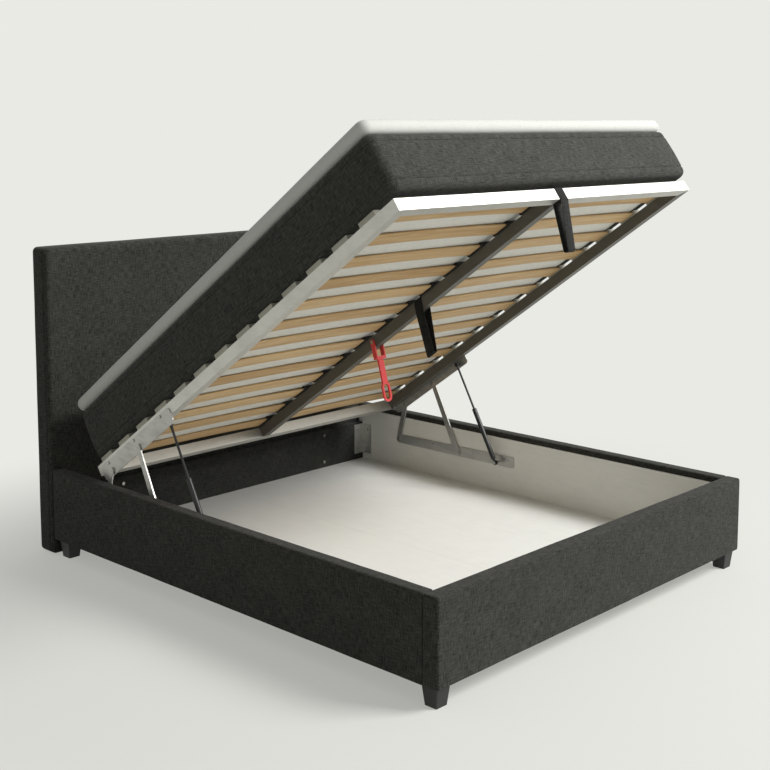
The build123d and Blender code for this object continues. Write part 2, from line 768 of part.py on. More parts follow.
# The front loop folds over the front tube and is fixed under it, where the beam meets it
web = webbing_thickness
lean = radians(open_angle - hang_angle)
front_loop_middle = tube_width / 2 - deck_length + pull_loop_drop * sin(lean)
front_loop_low = -pull_loop_drop * cos(lean)
with BuildPart() as pull_loop:
    with BuildSketch(deck_side_plane(-webbing_width / 2)):
        loop_outline(-deck_length - web, inner_front, tube_height + web, -web,
                     front_loop_low, front_loop_middle, pull_loop_end)
        bar(-deck_length, inner_front, 0, tube_height, Mode.SUBTRACT)
        loop_outline(-deck_length, inner_front - web, -web, -2 * web,
                     front_loop_low + web, front_loop_middle, pull_loop_end - 2 * web, Mode.SUBTRACT)
    extrude(amount=webbing_width)
write(pull_loop, "front_pull_loop")

towards_foot = (0, -cos(tilt), sin(tilt))
hanging = radians(hang_angle)
with BuildPart() as beam_loop:
    with BuildSketch(deck_cross_plane(beam_loop_from_rear - webbing_width / 2, 0, hanging)):
        beam_top = tube_height / cos(lean)
        loop_outline(-tube_width / 2 - web, tube_width / 2 + web, beam_top + web, -web,
                     -beam_loop_drop, 0, beam_loop_end)
        loop_outline(-tube_width / 2, tube_width / 2, beam_top, -web,
                     web - beam_loop_drop, 0, beam_loop_end - 2 * web, Mode.SUBTRACT)
    extrude(amount=webbing_width, dir=towards_foot)
write(beam_loop, "beam_pull_loop")

# Handle that hangs from a pin through the beam
prong_inner = tube_width / 2 + prong_gap
prong_outer = prong_inner + prong_thickness
crossbar_low = -prong_length - crossbar_height
ring_middle = ring_height / 2 - handle_length
handle_plane = deck_cross_plane(handle_from_rear, handle_rise, hanging)
with BuildPart() as release_handle:
    with BuildSketch(handle_plane.offset(-prong_width / 2)):
        for side in (-1, 1):
            bar(side * prong_inner, side * prong_outer, crossbar_low, 0)
        bar(-prong_outer, prong_outer, crossbar_low, -prong_length)
    extrude(amount=prong_width)
    for side in (-1, 1):
        pegs(deck_side_plane(side * prong_inner), [handle_pivot], prong_width / 2, side * prong_thickness)
    with BuildSketch(handle_plane.offset(-stem_thickness / 2)):
        bar(-stem_width / 2, stem_width / 2, ring_middle, crossbar_low)
        with Locations((0, ring_middle)):
            SlotOverall(ring_height, ring_width, rotation=90)
            SlotOverall(ring_height - 2 * ring_bar, ring_width - 2 * ring_bar, rotation=90, mode=Mode.SUBTRACT)
    extrude(amount=stem_thickness)
    pegs(deck_side_plane(-prong_outer), [handle_pivot], handle_pin_radius + pin_clearance,
         2 * prong_outer, Mode.SUBTRACT)
write(release_handle, "release_handle")

with BuildPart() as handle_pin:
    pin_reach = prong_outer + head_gap
    pegs(deck_side_plane(-pin_reach), [handle_pivot], handle_pin_radius, 2 * pin_reach)
    for side in (-1, 1):
        pegs(deck_side_plane(side * pin_reach), [handle_pivot], handle_pin_head, side * pin_head_height)
write(handle_pin, "handle_pin")

# The motion, for whoever joins the parts up: turns are about +X, from open to shut
rear_turn = sweep_angle(rear_low, rear_arm_deck, -arm_pivot_drop)
front_turn = sweep_angle(front_low, front_arm_deck, -arm_pivot_drop)
strut_turn = sweep_angle(strut_low, strut_deck, -strut_pivot_drop)
print("rear arm turns", rear_turn, "front arm turns", front_turn, "strut turns", strut_turn)
print("deck turns on the rear arm", open_angle - rear_turn, "rod slides", strut_shut - strut_open)
print("handle folds", handle_fold)
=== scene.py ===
"""Dresses the storage bed: padded headboard, covered rails, mattress, slats, webbing, finishes and a plain studio."""

import math

import bmesh
import bpy
from mathutils import Matrix, Vector, noise


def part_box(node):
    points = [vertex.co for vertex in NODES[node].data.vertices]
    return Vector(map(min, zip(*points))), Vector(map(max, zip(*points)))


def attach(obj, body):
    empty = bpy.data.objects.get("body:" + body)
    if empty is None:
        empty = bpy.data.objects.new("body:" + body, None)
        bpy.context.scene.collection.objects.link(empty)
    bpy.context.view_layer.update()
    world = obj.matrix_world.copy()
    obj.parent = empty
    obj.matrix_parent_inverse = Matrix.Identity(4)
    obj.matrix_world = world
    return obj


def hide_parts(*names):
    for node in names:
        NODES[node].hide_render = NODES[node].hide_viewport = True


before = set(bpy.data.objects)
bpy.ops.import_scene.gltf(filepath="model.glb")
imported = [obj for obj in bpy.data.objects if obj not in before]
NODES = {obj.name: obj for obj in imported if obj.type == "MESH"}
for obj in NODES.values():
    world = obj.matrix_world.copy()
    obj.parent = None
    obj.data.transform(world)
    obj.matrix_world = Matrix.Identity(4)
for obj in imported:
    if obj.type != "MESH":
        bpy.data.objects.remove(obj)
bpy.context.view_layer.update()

bl_info = {
    "name": "Storage bed dressing",
    "version": (1, 0, 0),
    "blender": (4, 5, 0),
    "location": "3D View > Sidebar > Bed",
    "description": "Builds the soft pieces, the slats, the finishes and the studio of a bed with a lifting deck",
    "category": "Object",
}

# The deck rests open: its slope, its rear lower corner, and the turn from its own directions to the room's
LEAN = math.radians(35)
DECK_CORNER = Vector((0, 0.783, 0.387))
DECK = Matrix.Translation(DECK_CORNER) @ Matrix.Rotation(-LEAN, 4, "X")
# Stands a lying block up, its upper face to the foot end
UPRIGHT = Matrix(((1, 0, 0, 0), (0, 0, -1, 0), (0, 1, 0, 0), (0, 0, 0, 1)))

# Where the photograph was taken from
CAMERA_PLACE = (-3.91505, -3.75311, 1.85756)
CAMERA_YAW = 0.80854
CAMERA_PITCH = -0.11213
CAMERA_LENS = 60.794
CAMERA_SHIFT = -0.1494

# The one lamp, the even light, and the floor that fades from lit paper into the backdrop; near the bed a share of glow
# is painted light that lightens the bed's shadow
KEY_PLACE = (4.4, -7.2, 7.6)
KEY_TARGET = (0, 0, 0.5)
KEY_POWER = 1750
KEY_SIZE = 4.5
EVEN_LIGHT = 0.4
FLOOR_REACH = 40
GLOW_SHIFT = (0.3, 0.5, 0)
GLOW_START, GLOW_END = 1.5, 3.2
# Share of backdrop glow on the floor next to the bed: painted light that lightens the bed's cast shadow
SHADOW_LIFTING_GLOW = 0.42

# How finely padded blocks are divided: inwards, up their sides, round their edges and round their corners
INSETS = (0.97, 0.8, 0.62, 0.46, 0.33, 0.22, 0.13, 0.07)
SIDE_LEVELS = (-0.66, -0.33, 0.0, 0.33, 0.66)
EDGE_TURNS = 6
RING_TURNS = 6
RING_RUNS = 30
LEAST_SIDE = 0.002
PAD_CLEARANCE = 0.0005

# The headboard's seam behind its padded front, the mattress's seams from its middle, and how the cloth is drawn
HEADBOARD_SEAM = 0.026
HEADBOARD_CORNER = 0.022
MATTRESS_SEAM = 0.074
BORDER_FOLD = 0.06
COVER_ROUNDS = 3
STITCH_RADIUS = 0.00045

# A slat's edges are mapped beside its faces, so the shader tells them apart; a normal past TURNED faces that way
SLAT_STEPS = 20
EDGE_MAP_START, EDGE_MAP_SHIFT = 0.3, 0.5
TURNED = 0.6

# A screw's cross recess (share of its arm, depth) and dome (share of the radius, share of the head's height)
SCREW_SIDES = 24
RECESS = ((0.55, -0.0016), (1.0, -0.0003))
RECESS_ARM, RECESS_WAIST = 0.42, 0.16
DOME = ((0.46, 0.0), (0.75, -0.2), (0.97, -0.6), (1.0, -1.0))
SHANK = 0.45


def linear(colour):
    """A display colour as the linear one that shaders take."""
    return tuple(c / 12.92 if c <= 0.04045 else ((c + 0.055) / 1.055) ** 2.4 for c in colour)


def sizes():
    return bpy.context.scene.bed_sizes


def colour_of(name):
    return (*linear(getattr(bpy.context.scene.bed_colours, name)), 1)


# ---- settings that a user would change ----


def length(title, text, value, low=0.0, high=1.0):
    return bpy.props.FloatProperty(
        name=title, description=text, default=value, min=low, max=high, unit="LENGTH", subtype="DISTANCE", precision=4
    )


def paint(title, text, red, green, blue):
    return bpy.props.FloatVectorProperty(
        name=title, description=text, default=(red / 255, green / 255, blue / 255), size=3, min=0, max=1,
        subtype="COLOR_GAMMA",
    )


class BedSizes(bpy.types.PropertyGroup):
    """Sizes of the soft pieces and of what repeats"""

    headboard_edge: length("Headboard edge", "Roundness of the headboard's padded edges", 0.02)
    headboard_crown: length("Headboard crown", "How far the headboard's front swells", 0.003)
    cover_grid: length("Cover grid", "Grid on which the rail covers are softened", 0.005, 0.003, 0.02)
    cloth_ripple: length("Cloth ripple", "Height of the slow waves in stretched cloth", 0.0007)
    mattress_edge: length("Mattress edge", "Roundness of the mattress's edges", 0.022)
    mattress_bulge: length("Mattress bulge", "How far the mattress's sides swell", 0.004)
    topper_edge: length("Topper edge", "Roundness of the topper's edges", 0.028)
    corner_round: length("Corner round", "Roundness of the mattress's corners seen from above", 0.04)
    slat_edge: length("Slat edge", "Roundness of a slat's long edges", 0.003)
    slat_bow: length("Slat bow", "Rise of a slat's middle over its ends", 0.006)
    slat_thickness: length("Slat thickness", "Thickness of the glued veneers", 0.008)
    slat_width: length("Slat width", "Width of a slat", 0.072)
    slat_count: bpy.props.IntProperty(name="Slats in a row", description="Slats on each side of the beam", default=13)
    stitch_pitch: length("Stitch pitch", "Distance from stitch to stitch", 0.006, 0.001, 0.05)
    stitch_length: length("Stitch length", "Length of one stitch", 0.0042)
    screw_head: length("Screw head", "Height of a bracket screw's domed head", 0.0022)
    webbing_edge: length("Webbing edge", "Roundness of the webbing's edges", 0.0008)


class BedColours(bpy.types.PropertyGroup):
    """Colours of the finishes, as they show on a screen"""

    cloth_light: paint("Cloth, light thread", "Paler thread of the upholstery", 59, 59, 55)
    cloth_dark: paint("Cloth, dark thread", "Darker thread of the upholstery", 26, 26, 23)
    mattress_light: paint("Mattress, light thread", "Paler thread of the mattress border", 66, 66, 62)
    mattress_dark: paint("Mattress, dark thread", "Darker thread of the mattress border", 34, 34, 31)
    base_cloth: paint("Mattress underside", "Cloth under the mattress", 226, 224, 216)
    topper_cloth: paint("Topper", "Knitted cloth of the topper", 190, 191, 185)
    tube_paint: paint("Tube", "Brushed tube of the frame", 200, 199, 193)
    # The beam and the far tube share the frame's paint; this darker colour is painted shade for where they lie under
    # the deck
    beam_painted_shade: paint("Beam", "Painted shade on the beam and the far tube", 82, 79, 70)
    lift_steel: paint("Lift arms", "Plated steel of the lifting gear", 178, 177, 172)
    strut_black: paint("Strut", "Black enamel of the gas struts", 8, 8, 9)
    slat_light: paint("Slat, pale grain", "Pale wood of the slats", 214, 183, 136)
    slat_dark: paint("Slat, dark grain", "Dark wood of the slats", 180, 145, 99)
    liner: paint("Liner", "Coated board inside the box", 220, 219, 212)
    floor_board: paint("Storage floor", "Coated board of the floor", 212, 212, 207)
    handle: paint("Handle", "Moulded red plastic", 214, 52, 54)
    backdrop: paint("Backdrop", "Studio background", 233, 234, 228)
    studio_floor: paint("Studio floor", "Paper under the bed", 194, 195, 189)


# ---- node helpers ----


def add(tree, kind, wires=None, **settings):
    """A node, its settings and its inputs, each wired or given a value."""
    made = tree.nodes.new(kind)
    for name, value in settings.items():
        setattr(made, name, value)
    for name, source in (wires or {}).items():
        if isinstance(source, bpy.types.NodeSocket):
            tree.links.new(source, made.inputs[name])
        else:
            made.inputs[name].default_value = source
    return made


def maths(tree, operation, first, second=0.0):
    return add(tree, "ShaderNodeMath", {0: first, 1: second}, operation=operation).outputs[0]


def blended(tree, share, first, second):
    return add(tree, "ShaderNodeMix", {0: share, 6: first, 7: second}, data_type="RGBA").outputs[2]


def between(tree, value, low, high, to_low=0.0, to_high=1.0):
    return add(tree, "ShaderNodeMapRange", {0: value, 1: low, 2: high, 3: to_low, 4: to_high}).outputs[0]


def stretched_noise(tree, vector, stretch, detail=2.0, distortion=0.0):
    scaled = add(tree, "ShaderNodeVectorMath", {0: vector, 1: stretch}, operation="MULTIPLY").outputs[0]
    return add(tree, "ShaderNodeTexNoise", {"Vector": scaled, "Scale": 1.0, "Detail": detail,
                                            "Distortion": distortion}).outputs[0]


def once(name):
    """Builds a node group under this name the first time, and finds it again after that."""
    return lambda build: lambda: bpy.data.node_groups.get(name) or build(name)


def shader_group(name, inputs, outputs):
    group = bpy.data.node_groups.new(name, "ShaderNodeTree")
    for title, kind, value in inputs:
        made = group.interface.new_socket(name=title, in_out="INPUT", socket_type=kind)
        if value is not None:
            made.default_value = value
    for title, kind in outputs:
        group.interface.new_socket(name=title, in_out="OUTPUT", socket_type=kind)
    return group, group.nodes.new("NodeGroupInput"), group.nodes.new("NodeGroupOutput")


SURFACE_OUTPUTS = [("Colour", "NodeSocketColor"), ("Roughness", "NodeSocketFloat"), ("Height", "NodeSocketFloat")]


@once("woven cloth")
def woven_group(name):
    """Cloth of crossing threads, with flecks along both."""
    group, given, out = shader_group(name, [
        ("Vector", "NodeSocketVector", None), ("Light", "NodeSocketColor", (0.1, 0.1, 0.1, 1)),
        ("Dark", "NodeSocketColor", (0.03, 0.03, 0.03, 1)), ("Thread", "NodeSocketFloat", 0.0022),
        ("Fleck", "NodeSocketFloat", 1.0)], SURFACE_OUTPUTS)
    place = given.outputs["Vector"]
    warp = stretched_noise(group, place, (310, 30, 1))
    moved = add(group, "ShaderNodeVectorMath", {0: place, 1: (3.7, 1.9, 0)}, operation="ADD").outputs[0]
    weft = stretched_noise(group, moved, (30, 310, 1))
    slow = stretched_noise(group, place, (7, 7, 7), 1.0)
    both = maths(group, "ADD", warp, weft)
    fleck = between(group, both, 0.78, 1.22)
    fleck = maths(group, "MULTIPLY", fleck, given.outputs["Fleck"])
    shift = between(group, slow, 0.3, 0.7, -0.08, 0.08)
    share = add(group, "ShaderNodeMath", {0: fleck, 1: shift}, operation="ADD", use_clamp=True).outputs[0]
    group.links.new(blended(group, share, given.outputs["Dark"], given.outputs["Light"]), out.inputs["Colour"])
    apart = add(group, "ShaderNodeSeparateXYZ", {0: place})
    turns = maths(group, "DIVIDE", 2 * math.pi, given.outputs["Thread"])
    waves = [maths(group, "SINE", maths(group, "MULTIPLY", apart.outputs[k], turns)) for k in (0, 1)]
    weave = maths(group, "MULTIPLY", waves[0], waves[1])
    weave = between(group, weave, -1.0, 1.0)
    height = maths(group, "ADD", maths(group, "MULTIPLY", weave, 0.6), maths(group, "MULTIPLY", share, 0.4))
    group.links.new(height, out.inputs["Height"])
    group.links.new(between(group, share, 0.0, 1.0, 0.96, 0.82), out.inputs["Roughness"])
    return group


@once("fine surface")
def fine_group(name):
    """Paint, plating, plastic or coated board: a slow change of tone under a fine grain."""
    group, given, out = shader_group(name, [
        ("Vector", "NodeSocketVector", None), ("Colour", "NodeSocketColor", (0.5, 0.5, 0.5, 1)),
        ("Worn", "NodeSocketColor", (0.4, 0.4, 0.4, 1)), ("Roughness", "NodeSocketFloat", 0.5),
        ("Grain", "NodeSocketFloat", 500.0)], SURFACE_OUTPUTS)
    place = given.outputs["Vector"]
    slow = stretched_noise(group, place, (9, 9, 9), 3.0)
    fine = add(group, "ShaderNodeTexNoise", {"Vector": place, "Scale": given.outputs["Grain"],
                                             "Detail": 2.0}).outputs[0]
    marks = stretched_noise(group, place, (60, 12, 60), 2.0, 0.4)
    wear = between(group, maths(group, "ADD", slow, marks), 0.9, 1.3)
    group.links.new(blended(group, wear, given.outputs["Colour"], given.outputs["Worn"]), out.inputs["Colour"])
    rough = maths(group, "ADD", given.outputs["Roughness"], between(group, fine, 0.3, 0.7, -0.06, 0.06))
    rough = maths(group, "ADD", rough, between(group, slow, 0.3, 0.7, -0.05, 0.05))
    group.links.new(rough, out.inputs["Roughness"])
    group.links.new(fine, out.inputs["Height"])
    return group


@once("glued veneer")
def veneer_group(name):
    """Long wood grain on the faces, and glued layers on the edges."""
    group, given, out = shader_group(name, [
        ("Vector", "NodeSocketVector", None), ("Tone", "NodeSocketFloat", 0.0),
        ("Light", "NodeSocketColor", (0.6, 0.4, 0.2, 1)), ("Dark", "NodeSocketColor", (0.4, 0.3, 0.2, 1)),
        ("Layer", "NodeSocketFloat", 0.0016)], SURFACE_OUTPUTS)
    tone = given.outputs["Tone"]
    shift = add(group, "ShaderNodeCombineXYZ", {0: maths(group, "MULTIPLY", tone, 9.0), 1: tone, 2: tone})
    place = add(group, "ShaderNodeVectorMath", {0: given.outputs["Vector"], 1: shift.outputs[0]},
                operation="ADD").outputs[0]
    grain = stretched_noise(group, place, (6, 260, 1), 4.0, 0.5)
    figure = stretched_noise(group, place, (2.2, 38, 1), 3.0, 1.2)
    share = maths(group, "ADD", maths(group, "MULTIPLY", grain, 0.55), maths(group, "MULTIPLY", figure, 0.75))
    share = maths(group, "ADD", share, maths(group, "MULTIPLY", tone, 0.3))
    share = between(group, share, 0.5, 1.0)
    apart = add(group, "ShaderNodeSeparateXYZ", {0: given.outputs["Vector"]})
    turns = maths(group, "DIVIDE", 2 * math.pi, given.outputs["Layer"])
    waves = maths(group, "SINE", maths(group, "MULTIPLY", apart.outputs[1], turns))
    layers = maths(group, "GREATER_THAN", waves, 0.0)
    edge = maths(group, "GREATER_THAN", apart.outputs[1], EDGE_MAP_START)
    dark = maths(group, "MULTIPLY", maths(group, "MULTIPLY", edge, layers), 0.55)
    share = add(group, "ShaderNodeMath", {0: share, 1: dark}, operation="ADD", use_clamp=True).outputs[0]
    group.links.new(blended(group, share, given.outputs["Light"], given.outputs["Dark"]), out.inputs["Colour"])
    group.links.new(between(group, share, 0.0, 1.0, 0.5, 0.66), out.inputs["Roughness"])
    group.links.new(grain, out.inputs["Height"])
    return group


def material(name):
    """A new material with its tree and shader, or the one made before without them."""
    if name in bpy.data.materials:
        return bpy.data.materials[name], None, None
    made = bpy.data.materials.new(name)
    made.use_nodes = True
    tree = made.node_tree
    tree.nodes.clear()
    shader = tree.nodes.new("ShaderNodeBsdfPrincipled")
    out = tree.nodes.new("ShaderNodeOutputMaterial")
    tree.links.new(shader.outputs[0], out.inputs[0])
    return made, tree, shader


def surface(tree, shader, group, wires, depth):
    """Places a group in a material and wires its colour, roughness and height."""
    made = add(tree, "ShaderNodeGroup", wires, node_tree=group)
    tree.links.new(made.outputs["Colour"], shader.inputs["Base Color"])
    tree.links.new(made.outputs["Roughness"], shader.inputs["Roughness"])
    bump = add(tree, "ShaderNodeBump", {"Height": made.outputs["Height"], "Distance": depth, "Strength": 0.7})
    tree.links.new(bump.outputs[0], shader.inputs["Normal"])


def cloth(name, light, dark, thread=0.0022, fleck=1.0, sheen=0.06, flat=False, depth=0.0004):
    """Woven cloth on a piece's own map, or on its upright face where flat."""
    made, tree, shader = material(name)
    if tree is None:
        return made
    place = add(tree, "ShaderNodeTexCoord")
    if flat:
        apart = add(tree, "ShaderNodeSeparateXYZ", {0: place.outputs["Object"]})
        joined = add(tree, "ShaderNodeCombineXYZ", {0: apart.outputs[0], 1: apart.outputs[2]})
        vector = joined.outputs[0]
    else:
        vector = place.outputs["UV"]
    surface(tree, shader, woven_group(), {"Vector": vector, "Light": light, "Dark": dark, "Thread": thread,
                                          "Fleck": fleck}, depth)
    shader.inputs["Sheen Weight"].default_value = sheen
    shader.inputs["Sheen Roughness"].default_value = 0.5
    shader.inputs["Specular IOR Level"].default_value = 0.15
    return made


def darker(colour, share):
    return (*(c * share for c in colour[:3]), 1)


def fine(name, colour, roughness=0.5, metal=0.0, grain=500.0, wear=0.85, depth=0.00005, coat=0.0):
    """Paint, plating, plastic or coated board on the piece's own coordinates."""
    made, tree, shader = material(name)
    if tree is None:
        return made
    place = add(tree, "ShaderNodeTexCoord")
    surface(tree, shader, fine_group(), {"Vector": place.outputs["Object"], "Colour": colour,
                                         "Worn": darker(colour, wear), "Roughness": roughness, "Grain": grain}, depth)
    shader.inputs["Metallic"].default_value = metal
    shader.inputs["Coat Weight"].default_value = coat
    return made


def shade(red, green, blue):
    return (*linear((red / 255, green / 255, blue / 255)), 1)


# ---- mesh helpers ----


def linked(name, mesh, finishes=()):
    made = bpy.data.objects.new(name, mesh)
    bpy.context.scene.collection.objects.link(made)
    for finish in finishes:
        mesh.materials.append(finish)
    return made


def smooth(mesh, angle):
    for face in mesh.polygons:
        face.use_smooth = True
    mesh.set_sharp_from_angle(angle=math.radians(angle))


def map_by_sides(form, back=None):
    """A map in metres on the side that each face turns to, in the piece's own directions."""
    layer = form.loops.layers.uv.verify()
    turn = back.to_3x3() if back else Matrix.Identity(3)
    for face in form.faces:
        normal = turn @ face.normal
        way = max(range(3), key=lambda k: abs(normal[k]))
        first, second = ((1, 2), (0, 2), (0, 1))[way]
        for loop in face.loops:
            place = back @ loop.vert.co if back else loop.vert.co
            loop[layer].uv = (place[first], place[second])


def ring(half_x, half_y, corner):
    """Points round a rectangle with rounded corners, the same number whatever its size."""
    bends = []
    for sign_x, sign_y, start in ((1, 1, 0), (-1, 1, 90), (-1, -1, 180), (1, -1, 270)):
        for turn in range(RING_TURNS + 1):
            angle = math.radians(start + 90 * turn / RING_TURNS)
            bends.append(Vector((sign_x * (half_x - corner) + corner * math.cos(angle),
                                 sign_y * (half_y - corner) + corner * math.sin(angle))))
    points = []
    for index, point in enumerate(bends):
        points.append(point)
        if index % (RING_TURNS + 1) == RING_TURNS:
            after = bends[(index + 1) % len(bends)]
            points += [point.lerp(after, k / RING_RUNS) for k in range(1, RING_RUNS)]
    return points


def pad_levels(least, half_z, edge, grooves):
    """How far in and how high each ring of a padded block lies, from below to above.

    A groove is its height, its depth and its width.
    """
    insets = [least * share for share in INSETS if least * share > edge]
    bends = [math.pi / 2 * turn / EDGE_TURNS for turn in range(EDGE_TURNS + 1)]
    levels = [(inset, -half_z) for inset in insets]
    levels += [(edge * (1 - math.sin(bend)), -half_z + edge * (1 - math.cos(bend))) for bend in bends]
    straight = half_z - edge
    if straight > LEAST_SIDE:
        heights = [straight * share for share in SIDE_LEVELS]
        heights = [h for h in heights if all(abs(h - g) > 3 * w for g, d, w in grooves)]
        heights += [g + k * w for g, d, w in grooves for k in (-2, -1, 0, 1, 2)]
        for height in sorted(heights):
            dip = sum(d * max(0.0, 1 - abs(height - g) / (1.5 * w)) for g, d, w in grooves)
            levels.append((dip, height))
    levels += [(edge * (1 - math.sin(bend)), half_z - edge * (1 - math.cos(bend))) for bend in reversed(bends)]
    return levels + [(inset, half_z) for inset in reversed(insets)]


def closed(form, rows):
    """Faces between rings of a form's corners, and over both ends."""
    for low, high in zip(rows, rows[1:]):
        for k in range(len(low)):
            form.faces.new((low[k - 1], low[k], high[k], high[k - 1]))
    form.faces.new(list(reversed(rows[0])))
    form.faces.new(rows[-1])
    bmesh.ops.recalc_face_normals(form, faces=form.faces)


def pad(name, half, corner, edge, place, crown=(0.0, 0.0), bulge=0.0, grooves=(), ripple=0.0005, seed=0.0):
    """A stuffed block: rounded, crowned above and below, its sides swelling between its edges."""
    half_x, half_y, half_z = half
    form = bmesh.new()
    rows = []
    for inset, height in pad_levels(min(half_x, half_y), half_z, edge, grooves):
        row = []
        swell = bulge * (1 - (height / half_z) ** 2) - bulge
        for point in ring(half_x - inset + swell, half_y - inset + swell, max(corner - inset, 0.003)):
            across = (1 - min(1, abs(point.x) / half_x) ** 4) * (1 - min(1, abs(point.y) / half_y) ** 4)
            rise = crown[0] * across if height > 0 else -crown[1] * across
            if abs(height) < half_z - edge:
                rise = 0.0
            row.append(form.verts.new((point.x, point.y, height + rise)))
        rows.append(row)
    closed(form, rows)
    form.normal_update()
    for vert in form.verts:
        wave = noise.noise(vert.co * 3.1 + Vector((seed, 0, 0)))
        wave += 0.5 * noise.noise(vert.co * 8.3 + Vector((0, seed, 0)))
        vert.co += vert.normal * ripple * (wave - 0.8)
    form.normal_update()
    map_by_sides(form)
    bmesh.ops.transform(form, matrix=place, verts=form.verts)
    mesh = bpy.data.meshes.new(name)
    form.to_mesh(mesh)
    form.free()
    smooth(mesh, 60)
    return mesh


def stretched(form, low, high):
    """Stretches a form to fill a box, to make good what smoothing took from its ends."""
    for k in range(3):
        least = min(v.co[k] for v in form.verts)
        share = (high[k] - low[k]) / (max(v.co[k] for v in form.verts) - least)
        for vert in form.verts:
            vert.co[k] = low[k] + (vert.co[k] - least) * share


def softened(name, node, grid, ripple, rounds, back=None):
    """A node made soft: evened to a grid, relaxed and rippled, or only its edges rounded where there's no grid."""
    mesh = NODES[node].data.copy()
    form = bmesh.new()
    form.from_mesh(mesh)
    bmesh.ops.remove_doubles(form, verts=form.verts, dist=0.00001)
    form.to_mesh(mesh)
    form.free()
    mesh.materials.clear()
    host = linked(name + "_host", mesh)
    if grid:
        evened = host.modifiers.new("evened", "REMESH")
        evened.mode = "VOXEL"
        evened.voxel_size = grid
    else:
        worn = host.modifiers.new("worn", "BEVEL")
        worn.width = sizes().webbing_edge
        worn.segments = 2
        worn.limit_method = "ANGLE"
        worn.angle_limit = math.radians(50)
    shapes = bpy.context.evaluated_depsgraph_get()
    made = bpy.data.meshes.new_from_object(host.evaluated_get(shapes))
    made.name = name
    bpy.data.objects.remove(host)
    form = bmesh.new()
    form.from_mesh(made)
    for _ in range(rounds):
        bmesh.ops.smooth_vert(form, verts=form.verts, factor=0.5, use_axis_x=True, use_axis_y=True, use_axis_z=True)
    if rounds:
        stretched(form, *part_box(node))
    form.normal_update()
    if ripple:
        for vert in form.verts:
            wave = noise.noise(vert.co * 5.3) + 0.4 * noise.noise(vert.co * 17.0)
            vert.co += vert.normal * ripple * (wave - 0.7)
        form.normal_update()
    map_by_sides(form, back)
    form.to_mesh(made)
    form.free()
    smooth(made, 45)
    return made


def deck_extent(node):
    """Lowest and highest corner of a node in the deck's own directions: across, towards the head, above."""
    back = DECK.inverted()
    places = [back @ v.co for v in NODES[node].data.vertices]
    low = Vector(min(p[k] for p in places) for k in range(3))
    high = Vector(max(p[k] for p in places) for k in range(3))
    return low, high


def islands(node):
    """The box of each separate solid of a node, as its lowest and highest corner."""
    form = bmesh.new()
    form.from_mesh(NODES[node].data)
    bmesh.ops.remove_doubles(form, verts=form.verts, dist=0.00001)
    left, found = set(form.verts), []
    while left:
        edge = [left.pop()]
        group = list(edge)
        while edge:
            here = edge.pop()
            for link in here.link_edges:
                there = link.other_vert(here)
                if there in left:
                    left.remove(there)
                    edge.append(there)
                    group.append(there)
        low = Vector(min(v.co[k] for v in group) for k in range(3))
        high = Vector(max(v.co[k] for v in group) for k in range(3))
        found.append((low, high))
    form.free()
    return found


# ---- geometry nodes ----


def geometry_group(name, inputs):
    group = bpy.data.node_groups.new(name, "GeometryNodeTree")
    group.interface.new_socket(name="Geometry", in_out="INPUT", socket_type="NodeSocketGeometry")
    for title, kind, value in inputs:
        made = group.interface.new_socket(name=title, in_out="INPUT", socket_type=kind)
        if value is not None:
            made.default_value = value
    group.interface.new_socket(name="Geometry", in_out="OUTPUT", socket_type="NodeSocketGeometry")
    return group, group.nodes.new("NodeGroupInput"), group.nodes.new("NodeGroupOutput")


def ending(group, given, out, instances):
    """Realize Instances, then Set Material, then out."""
    real = add(group, "GeometryNodeRealizeInstances", {"Geometry": instances})
    dressed = add(group, "GeometryNodeSetMaterial", {"Geometry": real.outputs[0], "Material": given.outputs["Finish"]})
    group.links.new(dressed.outputs[0], out.inputs["Geometry"])


@once("slat row")
def slat_row_group(name):
    """Slats on a leaning row of points, each with its own tone."""
    group, given, out = geometry_group(name, [
        ("Slat", "NodeSocketObject", None), ("Count", "NodeSocketInt", 13), ("Pitch", "NodeSocketFloat", 0.15),
        ("Start", "NodeSocketVector", None), ("Lean", "NodeSocketFloat", 0.6), ("Seed", "NodeSocketInt", 7),
        ("Finish", "NodeSocketMaterial", None)])
    lean, pitch = given.outputs["Lean"], given.outputs["Pitch"]
    back = maths(group, "MULTIPLY", maths(group, "MULTIPLY", maths(group, "COSINE", lean), pitch), -1.0)
    up = maths(group, "MULTIPLY", maths(group, "SINE", lean), pitch)
    step = add(group, "ShaderNodeCombineXYZ", {1: back, 2: up})
    line = add(group, "GeometryNodeMeshLine", {
        "Count": given.outputs["Count"], "Start Location": given.outputs["Start"], "Offset": step.outputs[0]},
        mode="OFFSET")
    slat = add(group, "GeometryNodeObjectInfo", {"Object": given.outputs["Slat"]})
    turn = add(group, "ShaderNodeCombineXYZ", {0: maths(group, "MULTIPLY", lean, -1.0)})
    placed = add(group, "GeometryNodeInstanceOnPoints", {
        "Points": line.outputs[0], "Instance": slat.outputs["Geometry"], "Rotation": turn.outputs[0]})
    chance = add(group, "FunctionNodeRandomValue", {"Seed": given.outputs["Seed"]}, data_type="FLOAT")
    toned = add(group, "GeometryNodeStoreNamedAttribute", {"Geometry": placed.outputs[0], "Name": "tone"},
                data_type="FLOAT", domain="INSTANCE")
    value_in = [s for s in toned.inputs if s.name == "Value" and s.enabled][0]
    chance_out = [s for s in chance.outputs if s.enabled][0]
    group.links.new(chance_out, value_in)
    ending(group, given, out, toned.outputs[0])
    return group


